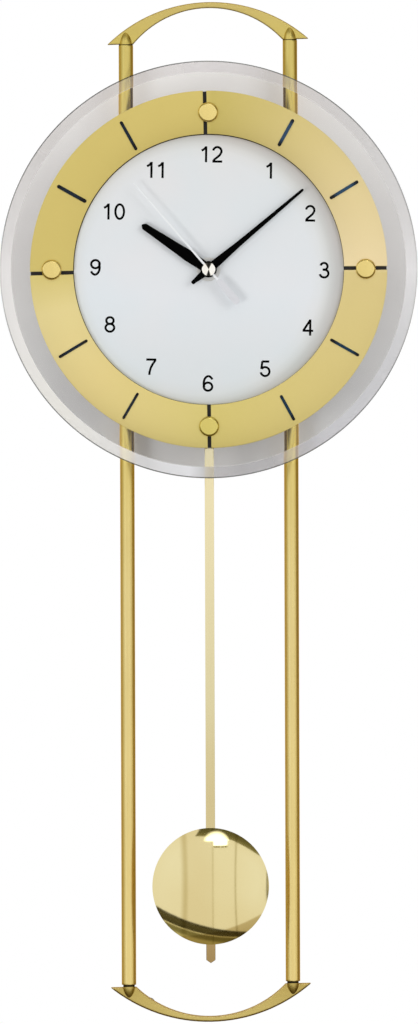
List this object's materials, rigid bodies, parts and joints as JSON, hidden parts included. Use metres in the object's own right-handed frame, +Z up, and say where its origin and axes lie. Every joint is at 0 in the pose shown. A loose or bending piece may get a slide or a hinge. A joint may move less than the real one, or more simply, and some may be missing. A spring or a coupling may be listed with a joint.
{
  "type": "radio-controlled pendulum wall clock",
  "caption": "Pendulum wall clock: bevelled glass disc with a gold ring dial on two upright rods joined by arched yokes; lens-shaped polished bob.",
  "frame": {"origin": "the point where the nail bears at the top of the keyhole slot, in the wall plane", "axes": "+X to the right of a viewer facing the dial, +Y into the wall, +Z up; the dial faces -Y and its axis of hands is 60 mm below the origin"},
  "size_m": [0.245, 0.0523, 0.6001],
  "materials": {
    "rod_gold": "satin anodised gold",
    "yoke_gold": "satin gold plate",
    "ring_gold": "fine satin anodised gold",
    "button_gold": "satin gold plate",
    "bob_brass": "mirror-polished, lacquered",
    "strip_brass": "polished",
    "clear_glass": "clear mineral glass, polished bevel",
    "backing_black": "black lacquer",
    "dial_silver": "matt silver-white",
    "stick_black": "glossy blue-black",
    "hand_black": "semi-matt black",
    "hand_white": "silver-white hand with a turned bright cap",
    "bright_metal": "bright nickel",
    "zinc_steel": "zinc-plated",
    "rotor_steel": "sintered magnet on a steel arbor",
    "black_plastic": "moulded",
    "white_plastic": "moulded acetal",
    "copper_wire": "enamelled copper winding",
    "ferrite": "sintered",
    "board_green": "solder resist",
    "battery_wrap": "printed sleeve, left plain",
    "grey_rubber": "moulded"
  },
  "bodies": {
    "case_and_frame": {"left_rod": "rod_gold", "right_rod": "rod_gold", "top_yoke": "yoke_gold", "bottom_yoke": "yoke_gold", "ring_segment_12_to_03": "ring_gold", "ring_segment_03_to_06": "ring_gold", "ring_segment_06_to_09": "ring_gold", "ring_segment_09_to_12": "ring_gold", "ring_button_12": "button_gold", "ring_button_03": "button_gold", "ring_button_06": "button_gold", "ring_button_09": "button_gold", "glass_disc": "clear_glass", "backing_disc": "backing_black", "dial_plate": "dial_silver", "index_stick_01": "stick_black", "index_stick_02": "stick_black", "index_stick_04": "stick_black", "index_stick_05": "stick_black", "index_stick_07": "stick_black", "index_stick_08": "stick_black", "index_stick_10": "stick_black", "index_stick_11": "stick_black", "centre_nut": "bright_metal", "rod_clamp_upper_left": "zinc_steel", "rod_clamp_lower_left": "zinc_steel", "rod_clamp_upper_right": "zinc_steel", "rod_clamp_lower_right": "zinc_steel", "carrier_plate": "zinc_steel", "hanger_plate": "zinc_steel", "button_nut_12": "zinc_steel", "button_nut_03": "zinc_steel", "button_nut_06": "zinc_steel", "button_nut_09": "zinc_steel", "movement_case": "black_plastic", "movement_front_plate": "black_plastic", "second_motor_coil": "copper_wire", "minute_motor_coil": "copper_wire", "pendulum_coil": "copper_wire", "ferrite_aerial": "ferrite", "circuit_board": "board_green", "battery_cell": "battery_wrap", "wall_bumper_left": "grey_rubber", "wall_bumper_right": "grey_rubber"},
    "seconds": {"second_hand": "hand_white", "second_arbor": "white_plastic"},
    "second_reduction": {"second_reduction_wheel": "white_plastic"},
    "second_motor_rotor": {"second_rotor": "rotor_steel"},
    "minutes": {"minute_hand": "hand_black", "minute_arbor": "white_plastic"},
    "minute_reduction": {"minute_reduction_wheel": "white_plastic"},
    "minute_motor_rotor": {"minute_rotor": "rotor_steel"},
    "motion": {"motion_wheel": "white_plastic"},
    "hours": {"hour_hand": "hand_black", "hour_wheel": "white_plastic"},
    "set_plunger": {"set_button": "white_plastic"},
    "pendulum": {"pendulum_lever": "black_plastic", "pendulum_strip": "strip_brass", "bob_front": "bob_brass", "bob_back": "bob_brass"}
  },
  "joints": [
    {"name": "second_spin", "type": "hinge", "parent": "case_and_frame", "child": "seconds", "pos_m": [0, 0, -0.06], "axis": [0, 1, 0], "continuous": true},
    {"name": "second_reduction_spin", "type": "hinge", "parent": "case_and_frame", "child": "second_reduction", "pos_m": [-0.00789, 0, -0.06287], "axis": [0, 1, 0], "continuous": true},
    {"name": "second_rotor_spin", "type": "hinge", "parent": "case_and_frame", "child": "second_motor_rotor", "pos_m": [-0.01466, 0, -0.06534], "axis": [0, 1, 0], "continuous": true},
    {"name": "minute_spin", "type": "hinge", "parent": "case_and_frame", "child": "minutes", "pos_m": [0, 0, -0.06], "axis": [0, 1, 0], "continuous": true},
    {"name": "minute_reduction_spin", "type": "hinge", "parent": "case_and_frame", "child": "minute_reduction", "pos_m": [0.00789, 0, -0.06287], "axis": [0, 1, 0], "continuous": true},
    {"name": "minute_rotor_spin", "type": "hinge", "parent": "case_and_frame", "child": "minute_motor_rotor", "pos_m": [0.01466, 0, -0.06534], "axis": [0, 1, 0], "continuous": true},
    {"name": "motion_spin", "type": "hinge", "parent": "case_and_frame", "child": "motion", "pos_m": [0, 0, -0.052], "axis": [0, 1, 0], "continuous": true},
    {"name": "hour_spin", "type": "hinge", "parent": "case_and_frame", "child": "hours", "pos_m": [0, 0, -0.06], "axis": [0, 1, 0], "continuous": true},
    {"name": "set_press", "type": "slide", "parent": "case_and_frame", "child": "set_plunger", "axis": [0, -1, 0], "range_m": [0, 0.0009], "stiffness_N_per_m": 800},
    {"name": "pendulum_swing", "type": "hinge", "parent": "case_and_frame", "child": "pendulum", "pos_m": [0, 0, -0.088], "axis": [0, 1, 0], "range_deg": [-5, 5]}
  ],
  "couplings": [
    {"joint": "second_reduction_spin", "follows": "second_spin", "ratio": -6},
    {"joint": "second_rotor_spin", "follows": "second_spin", "ratio": 30},
    {"joint": "minute_reduction_spin", "follows": "minute_spin", "ratio": -6},
    {"joint": "minute_rotor_spin", "follows": "minute_spin", "ratio": 30},
    {"joint": "motion_spin", "follows": "minute_spin", "ratio": -0.33333},
    {"joint": "hour_spin", "follows": "minute_spin", "ratio": 0.083333}
  ]
}
